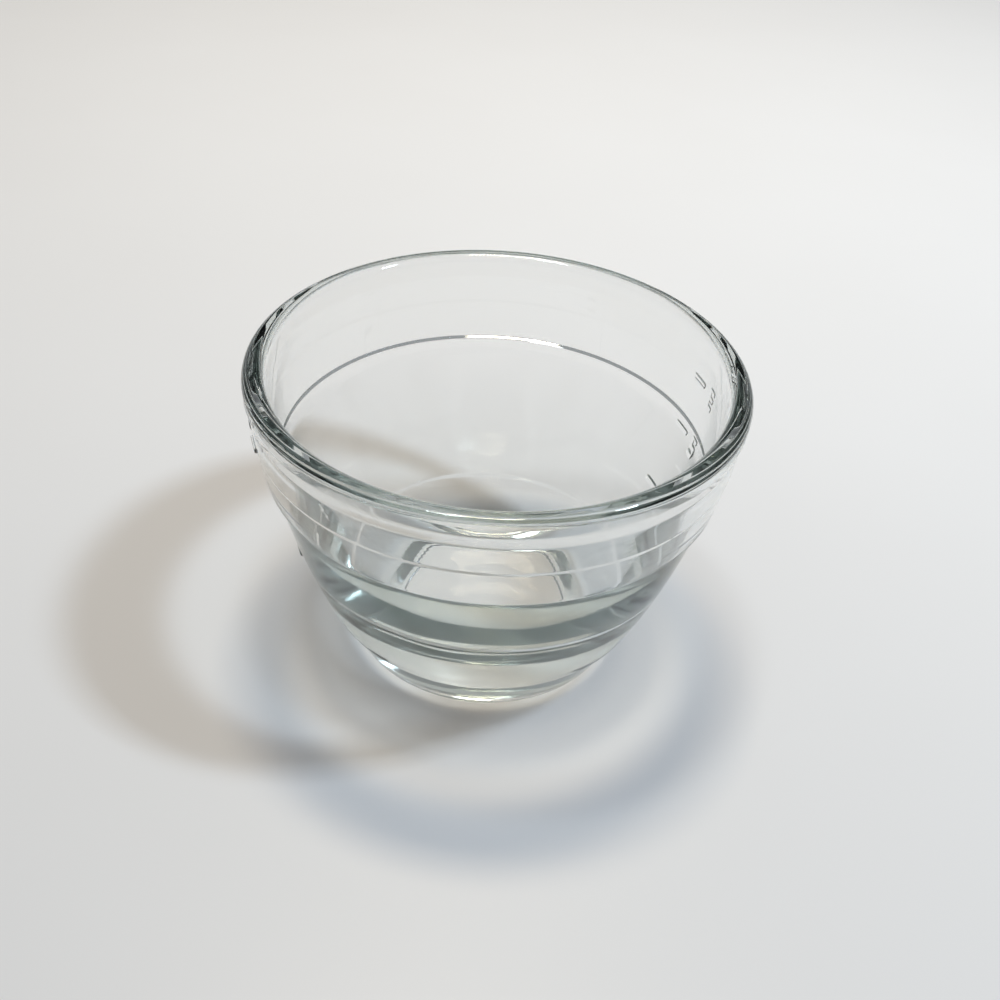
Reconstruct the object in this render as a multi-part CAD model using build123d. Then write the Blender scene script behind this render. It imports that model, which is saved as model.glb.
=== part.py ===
from build123d import *
import math
import os

# A small pressed-glass prep bowl in one piece: rolled rim, plain collar, stepped skirt, tapering
# body and a thick foot, with two raised measuring scales on the outside.
# Origin: centre of the foot, on the table. +Z up, along the bowl's axis. Millimetres.

# Driving dimensions. A drop is measured down from the top of the rim, a height up from the table.
rim_diameter = 102.0
bowl_height = 69.0
waist_diameter = 73.8
heel_diameter = 61.0

# Rolled rim, its neck and the plain collar under it
bead_width = 4.6
bead_overhang = 0.8
bead_drop = 3.4
neck_drop = 6.4
collar_taper = 0.35
collar_bulge = 0.05

# Crease between collar and skirt, then the ledge where the skirt overhangs the body
crease_drop = 12.3
crease_step = 0.25
crease_slope = 0.8
skirt_taper = 1.4
skirt_bulge = 0.08
ledge_drop = 21.5
ledge_step = 1.3
ledge_slope = 0.5

# Body, waist and foot
body_bulge = 0.9
waist_height = 12.4
waist_step = 0.9
waist_slope = 0.3
ring_width = 9.0
recess_depth = 0.8
recess_bevel = 1.3

# Inside: an upper wall that follows the outside down to the break, then a basin with a flat floor
lip_drop = 6.0
collar_wall = 4.0
upper_bulge = 0.3
break_drop = 23.2
break_wall = 2.55
basin_bulge = 2.0
floor_inset = 11.5
floor_thickness = 6.5

# Corner radii
heel_round = 3.0
recess_round = 0.8
edge_round = 0.4
crease_round = 0.8
neck_round = 3.0
bead_round = 2.2
bead_round_limit = 0.48  # share of the bead's width
lip_round = 4.0
break_round = 4.0
floor_round = 2.0

# Raised measuring scales: level lines with a plain number beside each
scale_azimuths = (20.5, 200.5)
level_drops = (40.3, 24.2, 12.0)
stroke_width = 0.9
stroke_proud = 0.4
stroke_sink = 0.5
level_length = 5.5
number_height = 4.6
number_breadth = 2.8
number_spacing = 7.4
number_lowering = 0.6

# Strokes of each plain number, as (across, up) from and to, in shares of the number's box
number_strokes = {
    1: [((0.5, 0), (0.5, 1))],
    2: [((0, 1), (1, 1)), ((1, 1), (1, 0.5)), ((0, 0.5), (1, 0.5)), ((0, 0.5), (0, 0)), ((0, 0), (1, 0))],
    3: [((0, 1), (1, 1)), ((0, 0.5), (1, 0.5)), ((0, 0), (1, 0)), ((1, 0), (1, 1))],
}

# Derived points of the outside, from the rim down, as (radius, height)
rim_radius = rim_diameter / 2
waist_radius = waist_diameter / 2
heel_radius = heel_diameter / 2
rim_outer = (rim_radius, bowl_height)
bead_foot = (rim_radius, bowl_height - bead_drop)
collar_top = (rim_radius - bead_overhang, bowl_height - neck_drop)
collar_foot = (collar_top[0] - collar_taper, bowl_height - crease_drop)
skirt_top = (collar_foot[0] - crease_step, collar_foot[1] - crease_slope)
skirt_foot = (skirt_top[0] - skirt_taper, bowl_height - ledge_drop)
body_top = (skirt_foot[0] - ledge_step, skirt_foot[1] - ledge_slope)
body_foot = (waist_radius, waist_height)
foot_top = (waist_radius - waist_step, waist_height - waist_slope)
heel = (heel_radius, 0)
recess_edge = (heel_radius - ring_width, 0)
recess_corner = (recess_edge[0] - recess_bevel, recess_depth)


def middle_of_arc(lower, upper, bulge):
    """Middle of the arc between two points that bulges outwards by so much."""
    chord = math.dist(lower, upper)
    across = (upper[0] - lower[0]) / chord
    up = (upper[1] - lower[1]) / chord
    return (lower[0] + upper[0]) / 2 + up * bulge, (lower[1] + upper[1]) / 2 - across * bulge


def bulging_arc(lower, upper, bulge):
    return ThreePointArc(lower, middle_of_arc(lower, upper, bulge), upper)


def radius_on_arc(lower, upper, bulge, height):
    """Radius of the bowl at a height on such an arc."""
    chord = math.dist(lower, upper)
    arc_radius = chord**2 / (8 * bulge) + bulge / 2
    centre = middle_of_arc(lower, upper, bulge - arc_radius)
    return centre[0] + math.sqrt(arc_radius**2 - (height - centre[1]) ** 2)


def wall_radius(height):
    """Radius of the bowl's outside at a height, with the collar carried on up behind the bead."""
    if height >= skirt_top[1]:
        return radius_on_arc(collar_foot, collar_top, collar_bulge, height)
    if height >= skirt_foot[1]:
        return radius_on_arc(skirt_foot, skirt_top, skirt_bulge, height)
    if height >= body_foot[1]:
        return radius_on_arc(body_foot, body_top, body_bulge, height)
    return heel[0] + (foot_top[0] - heel[0]) * height / foot_top[1]


# Derived points of the inside, from the rim down
rim_inner = (rim_radius - bead_width, bowl_height)
lip_height = bowl_height - lip_drop
lip_foot = (wall_radius(lip_height) - collar_wall, lip_height)
break_height = bowl_height - break_drop
break_point = (wall_radius(break_height) - break_wall, break_height)
floor_corner = (heel_radius - floor_inset, floor_thickness)

# Corners to round off, with their radii
rounded_corners = [
    (recess_corner, recess_round),
    (recess_edge, recess_round),
    (heel, heel_round),
    (foot_top, edge_round),
    (body_foot, edge_round),
    (body_top, edge_round),
    (skirt_foot, edge_round),
    (skirt_top, crease_round),
    (collar_foot, crease_round),
    (collar_top, neck_round),
    (bead_foot, neck_round),
    (rim_outer, min(bead_round, bead_round_limit * bead_width)),
    (rim_inner, min(bead_round, bead_round_limit * bead_width)),
    (lip_foot, lip_round),
    (break_point, break_round),
    (floor_corner, floor_round),
]


def half_section():
    """Half of the bowl's section, with the radius across and the height up."""
    lines = [
        Polyline((0, recess_depth), recess_corner, recess_edge, heel, foot_top, body_foot),
        bulging_arc(body_foot, body_top, body_bulge),
        Line(body_top, skirt_foot),
        bulging_arc(skirt_foot, skirt_top, skirt_bulge),
        Line(skirt_top, collar_foot),
        bulging_arc(collar_foot, collar_top, collar_bulge),
        Polyline(collar_top, bead_foot, rim_outer, rim_inner, lip_foot),
        bulging_arc(break_point, lip_foot, upper_bulge),
        bulging_arc(floor_corner, break_point, basin_bulge),
        Polyline(floor_corner, (0, floor_thickness), (0, recess_depth)),
    ]
    face = make_face([edge for line in lines for edge in line.edges()])
    for corner, radius in rounded_corners:
        vertex = face.vertices().sort_by_distance(Vector(*corner))[0]
        face = fillet(vertex, radius)
    return face


def stroke(azimuth, low, high, breadth):
    """A raised bar on the wall, between two heights, so many millimetres long around the bowl."""
    low_radius = wall_radius(low)
    high_radius = wall_radius(high)
    section = make_face(
        Polyline(
            (low_radius - stroke_sink, low),
            (low_radius + stroke_proud, low),
            (high_radius + stroke_proud, high),
            (high_radius - stroke_sink, high),
            close=True,
        ).edges()
    )
    sweep_angle = math.degrees(breadth / low_radius)
    bar = revolve(Plane.XZ * section, Axis.Z, revolution_arc=sweep_angle)
    return Rot(0, 0, azimuth - sweep_angle / 2) * bar


def number(value, azimuth, centre_height):
    """A plain number of straight strokes, upright on the wall."""
    radius = wall_radius(centre_height)
    across = number_breadth - stroke_width
    up = number_height - stroke_width
    strokes = []
    for (left, low), (right, high) in number_strokes[value]:
        middle = ((left + right) / 2 - 0.5) * across
        bottom = centre_height + (min(low, high) - 0.5) * up - stroke_width / 2
        top = centre_height + (max(low, high) - 0.5) * up + stroke_width / 2
        breadth = abs(right - left) * across + stroke_width
        strokes.append(stroke(azimuth + math.degrees(middle / radius), bottom, top, breadth))
    return strokes


def scale_marks():
    marks = []
    for azimuth in scale_azimuths:
        for value, drop in enumerate(level_drops, start=1):
            height = bowl_height - drop
            marks.append(stroke(azimuth, height - stroke_width / 2, height + stroke_width / 2, level_length))
            beside = math.degrees(number_spacing / wall_radius(height))
            marks += number(value, azimuth - beside, height - number_lowering)
    return marks


def bowl():
    glass = revolve(Plane.XZ * half_section(), Axis.Z)
    return glass.fuse(*scale_marks())


os.makedirs("parts", exist_ok=True)
export_step(bowl(), "parts/bowl.step")
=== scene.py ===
import bpy
import math
from mathutils import Matrix, Vector


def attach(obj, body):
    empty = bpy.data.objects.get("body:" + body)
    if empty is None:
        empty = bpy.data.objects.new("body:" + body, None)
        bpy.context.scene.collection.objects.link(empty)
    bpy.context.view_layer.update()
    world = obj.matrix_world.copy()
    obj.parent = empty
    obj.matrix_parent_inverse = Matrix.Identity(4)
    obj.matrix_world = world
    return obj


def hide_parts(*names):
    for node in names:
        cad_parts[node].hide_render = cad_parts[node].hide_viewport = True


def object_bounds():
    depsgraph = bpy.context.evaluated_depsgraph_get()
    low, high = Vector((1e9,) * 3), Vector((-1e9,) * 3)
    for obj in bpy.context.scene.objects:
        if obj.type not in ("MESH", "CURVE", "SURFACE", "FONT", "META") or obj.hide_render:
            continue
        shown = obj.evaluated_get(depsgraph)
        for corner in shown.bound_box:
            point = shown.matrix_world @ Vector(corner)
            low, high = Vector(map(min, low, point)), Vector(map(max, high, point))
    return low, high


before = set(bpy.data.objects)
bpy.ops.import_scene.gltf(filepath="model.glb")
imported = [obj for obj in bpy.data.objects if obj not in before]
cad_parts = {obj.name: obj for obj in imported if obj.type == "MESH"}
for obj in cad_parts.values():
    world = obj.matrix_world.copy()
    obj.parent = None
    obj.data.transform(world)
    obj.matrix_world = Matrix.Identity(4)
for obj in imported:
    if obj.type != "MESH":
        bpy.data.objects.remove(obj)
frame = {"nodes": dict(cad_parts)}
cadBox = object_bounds()
scene = bpy.context.scene
millimetre = 0.001
print("frame loaded:", ", ".join(frame["nodes"]))


# a socket that does arithmetic by adding Math nodes
class Wire:
    def __init__(self, shader, socket):
        self.shader = shader
        self.socket = socket

    def maths(self, operation, first, second):
        return self.shader.node("ShaderNodeMath", {"operation": operation}, {0: first, 1: second})

    def __add__(self, other):
        return self.maths("ADD", self, other)

    def __sub__(self, other):
        return self.maths("SUBTRACT", self, other)

    def __rsub__(self, other):
        return self.maths("SUBTRACT", other, self)

    def __mul__(self, other):
        return self.maths("MULTIPLY", self, other)

    def __truediv__(self, other):
        return self.maths("DIVIDE", self, other)

    def __rtruediv__(self, other):
        return self.maths("DIVIDE", other, self)

    def most(self, other):
        return self.maths("MAXIMUM", self, other)

    __radd__ = __add__
    __rmul__ = __mul__


class Shader:
    def __init__(self, tree):
        self.tree = tree
        self.tree.nodes.clear()

    # settings first, then values or links on the sockets; gives one of its outputs
    def node(self, kind, settings=None, sockets=None, output=0):
        made = self.tree.nodes.new(kind)
        for name, value in (settings or {}).items():
            if name == "stops":
                self.setStops(made.color_ramp, value)
            else:
                setattr(made, name, value)
        for name, value in (sockets or {}).items():
            if isinstance(value, Wire):
                self.tree.links.new(value.socket, made.inputs[name])
            else:
                made.inputs[name].default_value = value
        return Wire(self, made.outputs[output]) if made.outputs else made

    # 1 below start, 0 above end, smooth between
    def fade(self, wire, start, end):
        settings = {"clamp": True, "interpolation_type": "SMOOTHSTEP"}
        return self.node("ShaderNodeMapRange", settings, {0: wire, 1: start, 2: end, 3: 1.0, 4: 0.0})

    # a ramp of greys: (place, tone)
    def greys(self, wire, tones):
        stops = [(place, (tone, tone, tone, 1)) for place, tone in tones]
        return self.node("ShaderNodeValToRGB", {"stops": stops}, {0: wire})

    def setStops(self, ramp, stops):
        while len(ramp.elements) < len(stops):
            ramp.elements.new(1.0)
        for element, (place, colour) in zip(ramp.elements, stops):
            element.position = place
            element.color = colour


def newShader(name):
    material = bpy.data.materials.new(name)
    material.use_nodes = True
    return material, Shader(material.node_tree)


# the bowl's section in millimetres: drops from the top of the rim, heights from the table
# a step is how far it goes in and down, an inset is measured in from the rim
bowlShape = {
    "rimRadius": round(cadBox[1][0] / millimetre, 3),
    "height": round(cadBox[1][2] / millimetre, 3),
    "beadWidth": 4.6,
    "beadDrop": 3.4,
    "beadOverhang": 0.8,
    "beadRound": 2.2,
    "neckDrop": 6.4,
    "neckRound": 3.0,
    "collarTaper": 0.35,
    "collarBulge": 0.05,
    "creaseDrop": 12.3,
    "creaseStep": (0.25, 0.8),
    "creaseRound": 0.8,
    "skirtTaper": 1.4,
    "skirtBulge": 0.08,
    "ledgeDrop": 21.5,
    "ledgeStep": (1.3, 0.5),
    "ledgeRound": 0.4,
    "bodyBulge": 0.9,
    "waistRadius": 36.9,
    "waistHeight": 12.4,
    "waistStep": (0.9, 0.3),
    "stepRound": 0.5,
    "heelRadius": 30.5,
    "heelRound": 3.0,
    "ringWidth": 9.0,
    "recessDepth": 0.8,
    "recessBevel": 1.3,
    "recessRound": 0.8,
    "lipInset": 4.8,
    "lipDrop": 6.0,
    "lipRound": 4.0,
    "upperBulge": 0.3,
    "breakInset": 6.9,
    "breakDrop": 23.2,
    "breakRound": 9.0,
    "basinBulge": 2.0,
    "floorRadius": 19.0,
    "floorThickness": 6.5,
    "floorRound": 2.0,
}
cornerShare = 0.49  # most of a stretch that one rounded corner may take up
cornerStep = math.radians(9)  # turn of a rounded corner from one mesh row to the next
rowStep = 2.4  # widest spacing of the mesh rows, in millimetres
angleStep = 1.5  # degrees from one column of the mesh to the next


def stepDown(point, step):
    return point[0] - step[0], point[1] - step[1]


def arcPoints(start, end, bulge, count):
    # points of the arc from start to end that stands off its chord by bulge, to the right of the way along
    across = end[0] - start[0]
    up = end[1] - start[1]
    chord = math.hypot(across, up)
    turn = 4 * math.atan(2 * bulge / chord)
    points = []
    for step in range(1, count):
        angle = turn * (step / count - 0.5)
        along = 0.5 + math.sin(angle) / (2 * math.sin(turn / 2))
        off = (math.cos(angle) - math.cos(turn / 2)) / (2 * math.sin(turn / 2))
        points.append((start[0] + across * along + up * off, start[1] + up * along - across * off, 0))
    return points


def roundCorner(before, corner, after, radius):
    # the corner as an arc, or the corner itself where it has no radius
    if radius <= 0:
        return [corner]
    middle = Vector(corner)
    inwards = Vector(before) - middle
    outwards = Vector(after) - middle
    half = inwards.angle(outwards) / 2
    longest = cornerShare * min(inwards.length, outwards.length)
    reach = min(radius / math.tan(half), longest)
    first = middle + inwards.normalized() * reach
    last = middle + outwards.normalized() * reach
    centre = middle + (inwards.normalized() + outwards.normalized()).normalized() * reach / math.cos(half)
    arm = first - centre
    swing = arm.angle_signed(last - centre)
    steps = max(3, math.ceil(abs(swing) / cornerStep))
    points = []
    for step in range(steps + 1):
        turned = Matrix.Rotation(-swing * step / steps, 2) @ arm
        points.append((centre.x + turned.x, centre.y + turned.y))
    return points


def bowlOutline():
    # from the middle of the underside, round the rim, to the middle of the floor
    # each point as radius, height and corner radius
    s = bowlShape
    top = s["height"]
    rim = s["rimRadius"]
    recess = s["heelRadius"] - s["ringWidth"]
    bodyFoot = (s["waistRadius"], s["waistHeight"])
    footTop = stepDown(bodyFoot, s["waistStep"])
    collarTop = (rim - s["beadOverhang"], top - s["neckDrop"])
    collarFoot = (collarTop[0] - s["collarTaper"], top - s["creaseDrop"])
    skirtTop = stepDown(collarFoot, s["creaseStep"])
    skirtFoot = (skirtTop[0] - s["skirtTaper"], top - s["ledgeDrop"])
    bodyTop = stepDown(skirtFoot, s["ledgeStep"])
    lipFoot = (rim - s["lipInset"], top - s["lipDrop"])
    breakPoint = (rim - s["breakInset"], top - s["breakDrop"])
    floorCorner = (s["floorRadius"], s["floorThickness"])
    return [
        (0, s["recessDepth"], 0),
        (recess - s["recessBevel"], s["recessDepth"], s["recessRound"]),
        (recess, 0, s["recessRound"]),
        (s["heelRadius"], 0, s["heelRound"]),
        (*footTop, s["stepRound"]),
        (*bodyFoot, s["stepRound"]),
        *arcPoints(bodyFoot, bodyTop, s["bodyBulge"], count=30),
        (*bodyTop, s["stepRound"]),
        (*skirtFoot, s["ledgeRound"]),
        *arcPoints(skirtFoot, skirtTop, s["skirtBulge"], count=8),
        (*skirtTop, s["creaseRound"]),
        (*collarFoot, s["creaseRound"]),
        *arcPoints(collarFoot, collarTop, s["collarBulge"], count=6),
        (*collarTop, s["neckRound"]),
        (rim, top - s["beadDrop"], s["neckRound"]),
        (rim, top, s["beadRound"]),
        (rim - s["beadWidth"], top, s["beadRound"]),
        (*lipFoot, s["lipRound"]),
        *arcPoints(lipFoot, breakPoint, -s["upperBulge"], count=8),
        (*breakPoint, s["breakRound"]),
        *arcPoints(breakPoint, floorCorner, -s["basinBulge"], count=24),
        (*floorCorner, s["floorRound"]),
        (0, s["floorThickness"], 0),
    ]


# raised level lines with a plain number beside each, on two sides of the bowl
marks = {
    "azimuths": (20.5, 200.5),
    "levelDrops": (40.3, 24.2, 12.0),
    "strokeWidth": 0.9,
    "proud": 0.4,
    "edge": 0.28,  # width of a stroke's soft edge
    "levelLength": 5.5,
    "numberHeight": 4.6,
    "numberBreadth": 2.8,
    "numberSpacing": 7.4,
    "numberLowering": 0.6,
    "reach": 4.0,  # a level's marks lie within this height of it
    "span": (-13, 5),  # and within these degrees of the scale's middle
    "rowStep": 0.3,  # mesh spacing there
    "angleStep": 0.25,
    "strokes": {  # ends of each number's strokes, in shares of its box
        1: [((0.5, 0), (0.5, 1))],
        2: [
            ((0, 1), (1, 1)),
            ((1, 1), (1, 0.5)),
            ((0, 0.5), (1, 0.5)),
            ((0, 0.5), (0, 0)),
            ((0, 0), (1, 0)),
        ],
        3: [((0, 1), (1, 1)), ((0, 0.5), (1, 0.5)), ((0, 0), (1, 0)), ((1, 0), (1, 1))],
    },
}
markLevels = [bowlShape["height"] - drop for drop in marks["levelDrops"]]


def besideMark(height):
    return any(abs(height - level) < marks["reach"] for level in markLevels)


def markStrokes():
    # each stroke as two ends, in millimetres round the bowl from its scale's middle, and up
    m = marks
    across = m["numberBreadth"] - m["strokeWidth"]
    up = m["numberHeight"] - m["strokeWidth"]
    half = (m["levelLength"] - m["strokeWidth"]) / 2
    strokes = []
    for value, level in enumerate(markLevels, start=1):
        strokes.append(((-half, level), (half, level)))
        left = -m["numberSpacing"] - across / 2
        bottom = level - m["numberLowering"] - up / 2
        for ends in m["strokes"][value]:
            strokes.append(tuple((left + x * across, bottom + y * up) for x, y in ends))
    return strokes


def strokeDistance(point, start, end):
    run = Vector(end) - Vector(start)
    share = (Vector(point) - Vector(start)).dot(run) / run.length_squared
    return (Vector(point) - Vector(start) - run * min(1, max(0, share))).length


def raised(strokes, turned, radius, height):
    # how far a point of the outside stands proud, from its angle to the nearest scale
    place = (turned * radius, height)
    nearest = min(strokeDistance(place, start, end) for start, end in strokes)
    inside = (marks["strokeWidth"] / 2 + marks["edge"] / 2 - nearest) / marks["edge"]
    inside = min(1, max(0, inside))
    return marks["proud"] * inside * inside * (3 - 2 * inside)


# the slight unevenness of pressed glass: waves round, waves per millimetre along the section, phase, size
ripples = [
    (3, 0.02, 0.4, 0.020),
    (5, 0.03, 2.1, 0.012),
    (8, 0.04, 1.3, 0.008),
    (13, 0.05, 4.0, 0.005),
]
evenness = {
    "foot": 1.5,  # no ripples up to this height, so that the foot stands flat
    "rim": (60.0, 66.0),  # they fade out between these heights, so that the rim stays round
    "middle": 20.0,  # and from this radius in towards the axis
}


def unevenness(angle, along, radius, height):
    if height <= evenness["foot"]:
        return 0
    start, end = evenness["rim"]
    fade = min(1, radius / evenness["middle"]) * min(1, max(0, (end - height) / (end - start)))
    push = 0
    for waves, rate, phase, size in ripples:
        lean = 1 if waves % 2 else -1
        push += size * math.sin(waves * angle + phase + math.tau * rate * along * lean)
    return fade * push


def meshRows(outline):
    # rounded outline cut into rows: radius, height, distance along, whether outside
    corners = [point[:2] for point in outline]
    smooth = [corners[0]]
    for index in range(1, len(corners) - 1):
        smooth += roundCorner(corners[index - 1], corners[index], corners[index + 1], outline[index][2])
    smooth.append(corners[-1])
    rows = []
    along = 0
    outside = True
    rimTop = bowlShape["height"] - 0.01  # where the outside ends, a hair below the very top
    for start, end in zip(smooth, smooth[1:]):
        outside = outside and start[1] <= rimTop
        length = math.dist(start, end)
        spacing = marks["rowStep"] if outside and besideMark(start[1]) else rowStep
        count = max(1, math.ceil(length / spacing))
        for step in range(count):
            share = step / count
            radius = start[0] + (end[0] - start[0]) * share
            height = start[1] + (end[1] - start[1]) * share
            rows.append((radius, height, along + length * share, outside))
        along += length
    rows.append((*smooth[-1], along, False))
    return rows


def meshAngles():
    # angles round the bowl in degrees, close together where the raised marks are
    first, last = marks["span"]
    angles = []
    angle = 0
    while angle < 360:
        angles.append(angle)
        near = any(first < angle - azimuth < last for azimuth in marks["azimuths"])
        angle += marks["angleStep"] if near else angleStep
    return [math.radians(angle) for angle in angles]


def makeBowl():
    rows = meshRows(bowlOutline())
    angles = meshAngles()
    strokes = markStrokes()
    scales = [math.radians(azimuth) for azimuth in marks["azimuths"]]
    first, last = (math.radians(end) for end in marks["span"])
    vertices = []
    for index, (radius, height, along, outside) in enumerate(rows):
        if index in (0, len(rows) - 1):
            vertices.append((0, 0, height * millimetre))
            continue
        before, after = rows[index - 1], rows[index + 1]
        run = math.hypot(after[0] - before[0], after[1] - before[1])
        normal = ((after[1] - before[1]) / run, (before[0] - after[0]) / run)
        marked = outside and besideMark(height)
        for angle in angles:
            push = unevenness(angle, along, radius, height)
            if marked:
                turned = min((angle - scale for scale in scales), key=abs)
                if first < turned < last:
                    push += raised(strokes, turned, radius, height)
            reach = (radius + normal[0] * push) * millimetre
            level = (height + normal[1] * push) * millimetre
            vertices.append((reach * math.cos(angle), reach * math.sin(angle), level))
    count = len(angles)
    final = len(vertices) - 1
    faces = []
    for k in range(count):
        beside = (k + 1) % count
        faces.append((0, 1 + beside, 1 + k))
        for row in range(len(rows) - 3):
            low = 1 + row * count
            faces.append((low + k, low + beside, low + count + beside, low + count + k))
        faces.append((final - count + k, final - count + beside, final))
    mesh = bpy.data.meshes.new("bowl_glass")
    mesh.from_pydata(vertices, [], faces)
    mesh.polygons.foreach_set("use_smooth", [True] * len(faces))
    mesh.update()
    piece = bpy.data.objects.new("bowl_glass", mesh)
    scene.collection.objects.link(piece)
    print("bowl:", len(vertices), "points")
    return piece


# clear pressed glass: faint grey-green in the thick, with absorption set stronger than the glass has as
# painted shade for dark surroundings, scuffed near the table, a little hazy inside (metres)
glass = {
    "ior": 1.52,
    "tint": (0.735, 0.785, 0.76, 1),
    # the grey-green tint is the glass's own; this strength is raised above it as painted shade for the
    # dark surroundings seen in the rim
    "densityWithPaintedShade": 28.0,
    "scuffs": {"Scale": 420.0, "Detail": 3.0},
    "scuffTones": [(0.52, 0), (0.72, 1)],
    "scuffed": (0.0005, 0.0078),  # heights between which the scuffs fade out
    "scuffRoughness": 0.22,
    "smears": {"Scale": 38.0, "Detail": 4.0},
    "smearTones": [(0.50, 0), (0.75, 1)],
    "smearRoughness": 0.02,
    "insideRadius": 0.024,  # a cone that lies between the outside and the basin
    "insideSlope": 0.48,
    "insideEdge": 0.0005,
    "insideTop": (0.044, 0.046),
    "insideRoughness": 0.05,
}
# share of the lamps' light that a face lets straight through
lampShare = {
    "slant": (0.85, 1.3),  # less where the light grazes it
    "floorEdge": (0.027, 0.031),  # all of it round the axis, fading to the bands between these radii
    "bands": [  # height in metres, share
        (0.0, 1.0),
        (0.0015, 1.0),
        (0.003, 0.52),
        (0.020, 0.52),
        (0.028, 0.98),
        (0.042, 0.98),
        (0.048, 0.24),
    ],
}


def passedShare(shader, height, reach):
    slant = shader.node("ShaderNodeLayerWeight", {}, {"Blend": 0.5}, "Facing")
    straight = shader.fade(slant, *lampShare["slant"])
    tall = bowlShape["height"] * millimetre
    bands = shader.greys(height / tall, [(level / tall, share) for level, share in lampShare["bands"]])
    floor = shader.fade(reach, *lampShare["floorEdge"])
    return straight * floor.most(bands)


def glassRoughness(shader, height, reach):
    g = glass
    scuffs = shader.node("ShaderNodeTexNoise", {"noise_dimensions": "3D"}, g["scuffs"])
    smears = shader.node("ShaderNodeTexNoise", {"noise_dimensions": "3D"}, g["smears"])
    scuffed = shader.fade(height, *g["scuffed"]) * shader.greys(scuffs, g["scuffTones"])
    smeared = shader.greys(smears, g["smearTones"])
    cone = height * g["insideSlope"] + g["insideRadius"]
    inside = shader.fade(reach - cone, -g["insideEdge"], g["insideEdge"])
    inside = inside * shader.fade(height, *g["insideTop"])
    worn = scuffed * g["scuffRoughness"] + smeared * g["smearRoughness"]
    return worn.most(inside * g["insideRoughness"])


def clearGlass():
    material, shader = newShader("clear_glass")
    place = shader.node("ShaderNodeNewGeometry")
    height = shader.node("ShaderNodeSeparateXYZ", {}, {0: place}, "Z")
    level = shader.node("ShaderNodeVectorMath", {"operation": "MULTIPLY"}, {0: place, 1: (1, 1, 0)})
    reach = shader.node("ShaderNodeVectorMath", {"operation": "LENGTH"}, {0: level}, "Value")
    clear = shader.node(
        "ShaderNodeBsdfPrincipled",
        {},
        {
            "Base Color": (1, 1, 1, 1),
            "IOR": glass["ior"],
            "Transmission Weight": 1.0,
            "Roughness": glassRoughness(shader, height, reach),
        },
    )
    # light between the lamps and the floor goes straight through by its share, and the rest is lost
    fromLamp = shader.node("ShaderNodeLightPath", {}, {}, "Is Shadow Ray")
    fromFloor = shader.node("ShaderNodeLightPath", {}, {}, "Is Diffuse Ray")
    light = fromLamp.most(fromFloor)
    dark = shader.node("ShaderNodeBsdfDiffuse", {}, {"Color": (0, 0, 0, 1)})
    through = shader.node("ShaderNodeBsdfTransparent")
    surface = shader.node("ShaderNodeMixShader", {}, {0: light, 1: clear, 2: dark})
    share = light * passedShare(shader, height, reach)
    surface = shader.node("ShaderNodeMixShader", {}, {0: share, 1: surface, 2: through})
    absorbed = {"Color": glass["tint"], "Density": glass["densityWithPaintedShade"]}
    body = shader.node("ShaderNodeVolumeAbsorption", {}, absorbed)
    shader.node("ShaderNodeOutputMaterial", {}, {"Surface": surface, "Volume": body})
    print("glass mixed")
    return material


# plain pale floor, faintly clouded
floorLook = {
    "size": 6.0,
    "gap": 0.00015,  # the glass stands a hair off it
    "colour": (0.76, 0.745, 0.735, 1),
    "shade": (0.79, 0.78, 0.775, 1),
    "clouds": {"Scale": 9.0, "Detail": 3.0},
    "roughness": 0.42,
}


def makeFloor():
    half = floorLook["size"] / 2
    low = -floorLook["gap"]
    corners = [(-half, -half, low), (half, -half, low), (half, half, low), (-half, half, low)]
    mesh = bpy.data.meshes.new("floor")
    mesh.from_pydata(corners, [], [(0, 1, 2, 3)])
    floor = bpy.data.objects.new("floor", mesh)
    scene.collection.objects.link(floor)
    material, shader = newShader("pale_floor")
    place = shader.node("ShaderNodeNewGeometry")
    cloud = shader.node("ShaderNodeTexNoise", {}, {"Vector": place, **floorLook["clouds"]})
    colour = shader.node(
        "ShaderNodeMix",
        {"data_type": "RGBA"},
        {"Factor": cloud, "A": floorLook["colour"], "B": floorLook["shade"]},
        "Result",
    )
    surface = shader.node(
        "ShaderNodeBsdfPrincipled", {}, {"Base Color": colour, "Roughness": floorLook["roughness"]}
    )
    shader.node("ShaderNodeOutputMaterial", {}, {"Surface": surface})
    mesh.materials.append(material)
    print("floor laid")


# soft studio light: a room with pale walls, a dark band above them and a lit ceiling, and panels overhead
# tones of the room by how far up it is looked at, from the horizon at 0 to straight up at 1
room = {
    "tones": [
        (0.0, 0.40),
        (0.20, 0.37),
        (0.31, 0.20),
        (0.39, 0.02),
        (0.47, 0.04),
        (0.60, 0.20),
        (0.78, 0.36),
        (1.0, 0.34),
    ],
    "cast": (0.97, 1.0, 1.04),
}
panelAim = Vector((0.15, 1.20, 0.0))  # towards the back, so that the floor gets darker to the front
panels = [
    {
        "name": "panel_right",
        "place": (0.532, -0.035, 0.88),
        "size": (0.11, 0.14),
        "watts": 7.3,
        "colour": (0.71, 0.85, 1.0),
    },
    {
        "name": "panel_top",
        "place": (-0.147, 0.06, 1.024),
        "size": (0.11, 0.14),
        "watts": 1.8,
        "colour": (0.90, 0.97, 1.0),
    },
    {
        "name": "panel_back",
        "place": (-0.02, 0.233, 1.008),
        "size": (0.22, 0.24),
        "watts": 7.0,
        "colour": (1.0, 0.87, 0.68),
    },
]


def makeRoom():
    world = bpy.data.worlds.new("studio")
    scene.world = world
    world.use_nodes = True
    shader = Shader(world.node_tree)
    way = shader.node("ShaderNodeTexCoord", {}, {}, "Generated")
    up = shader.node("ShaderNodeSeparateXYZ", {}, {0: way}, "Z")
    stops = [(place, (*(tone * cast for cast in room["cast"]), 1)) for place, tone in room["tones"]]
    tones = shader.node("ShaderNodeValToRGB", {"stops": stops}, {0: up})
    sky = shader.node("ShaderNodeBackground", {}, {"Color": tones, "Strength": 1.0})
    shader.node("ShaderNodeOutputWorld", {}, {"Surface": sky})
    print("room lit")


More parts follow.
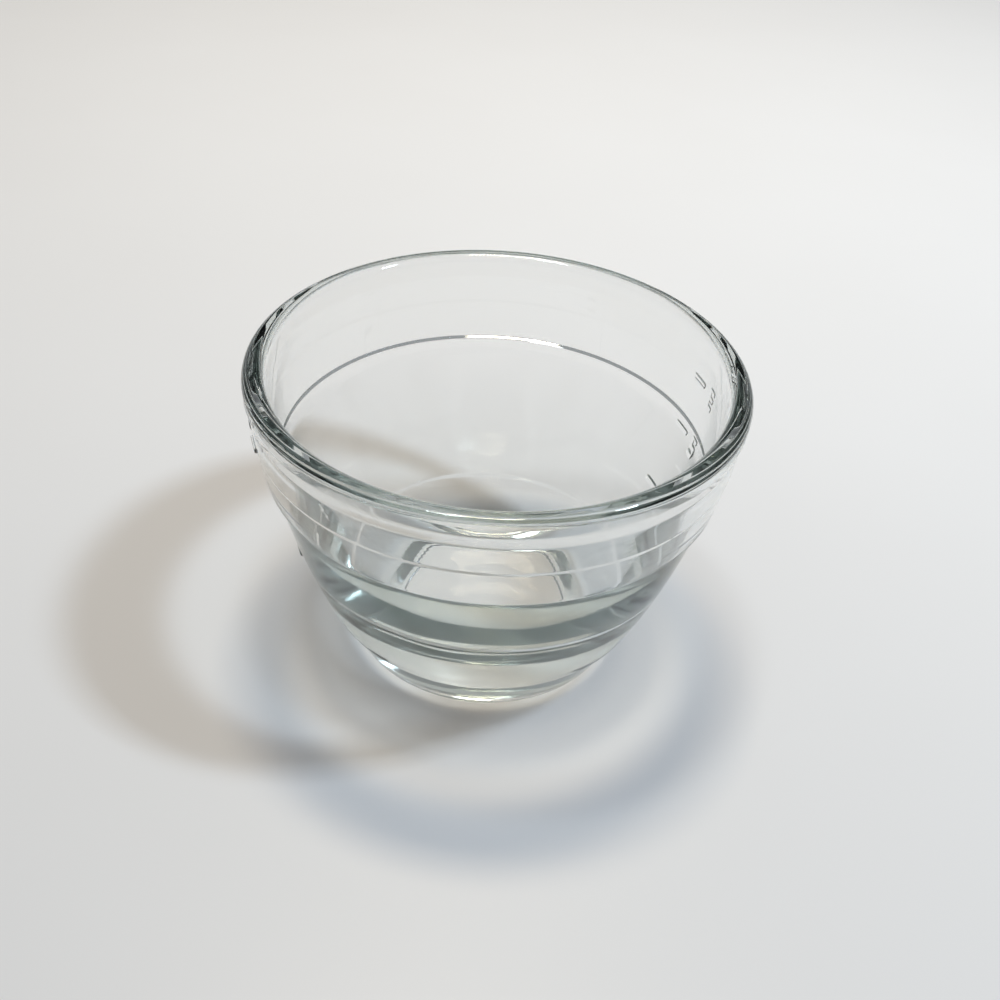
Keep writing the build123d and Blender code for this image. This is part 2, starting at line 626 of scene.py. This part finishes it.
def makePanels():
    for panel in panels:
        light = bpy.data.lights.new(panel["name"], "AREA")
        light.shape = "RECTANGLE"
        light.size, light.size_y = panel["size"]
        light.energy = panel["watts"]
        light.color = panel["colour"]
        lamp = bpy.data.objects.new(panel["name"], light)
        lamp.location = panel["place"]
        facing = panelAim - Vector(panel["place"])
        lamp.rotation_euler = facing.to_track_quat("-Z", "Y").to_euler()
        scene.collection.objects.link(lamp)
    print("light:", len(panels), "panels")


# the photograph's view: lens in pixels of the frame, angles in degrees, distance in rim radii
photoView = {
    "frame": 1000,
    "lens": 1080,
    "elevation": 31.319,
    "distance": 4.294,
    "roll": -3.861,
    "rimCentrePixel": (499.83, 360.545),
    "sensor": 36,
    "nearest": 0.01,
}


def makeCamera():
    v = photoView
    rim = Vector((0, 0, bowlShape["height"] * millimetre))
    lift = math.radians(v["elevation"])
    tip = math.radians(v["roll"])
    back = Vector((0, -math.cos(lift), math.sin(lift)))
    # world directions of the line of sight to the rim's centre, rolled about it
    sight = -back
    across = Vector((1, 0, 0))
    below = sight.cross(across)
    right = across * math.cos(tip) + below * math.sin(tip)
    down = below * math.cos(tip) - across * math.sin(tip)
    # the same directions in the picture: x right, y down, z into it
    half = v["frame"] / 2
    pixel = v["rimCentrePixel"]
    seen = Vector((pixel[0] - half, pixel[1] - half, v["lens"])).normalized()
    seenRight = (Vector((1, 0, 0)) - seen * seen.x).normalized()
    seenDown = seen.cross(seenRight)
    inPicture = Matrix((seenRight, seenDown, seen)).transposed()
    inWorld = Matrix((right, down, sight)).transposed()
    turn = inPicture @ inWorld.transposed()
    pose = Matrix((turn[0], -turn[1], -turn[2])).transposed().to_4x4()
    pose.translation = rim + back * v["distance"] * bowlShape["rimRadius"] * millimetre
    lens = bpy.data.cameras.new("camera")
    lens.sensor_fit = "HORIZONTAL"
    lens.sensor_width = v["sensor"]
    lens.lens = v["lens"] * v["sensor"] / v["frame"]
    lens.clip_start = v["nearest"]
    camera = bpy.data.objects.new("camera", lens)
    camera.matrix_world = pose
    scene.collection.objects.link(camera)
    scene.camera = camera
    print("camera placed")


bowl = makeBowl()
bowl.data.materials.append(clearGlass())
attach(bowl, "root")
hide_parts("bowl")
makeFloor()
makeRoom()
makePanels()
makeCamera()

scene.view_settings.view_transform = "Standard"
# light is followed far enough to leave the thick glass again, less far where it only glances about inside
scene.cycles.max_bounces = 64
scene.cycles.glossy_bounces = 14
scene.cycles.transmission_bounces = 64
scene.cycles.caustics_refractive = True
scene.cycles.caustics_reflective = True
scene.cycles.use_denoising = True
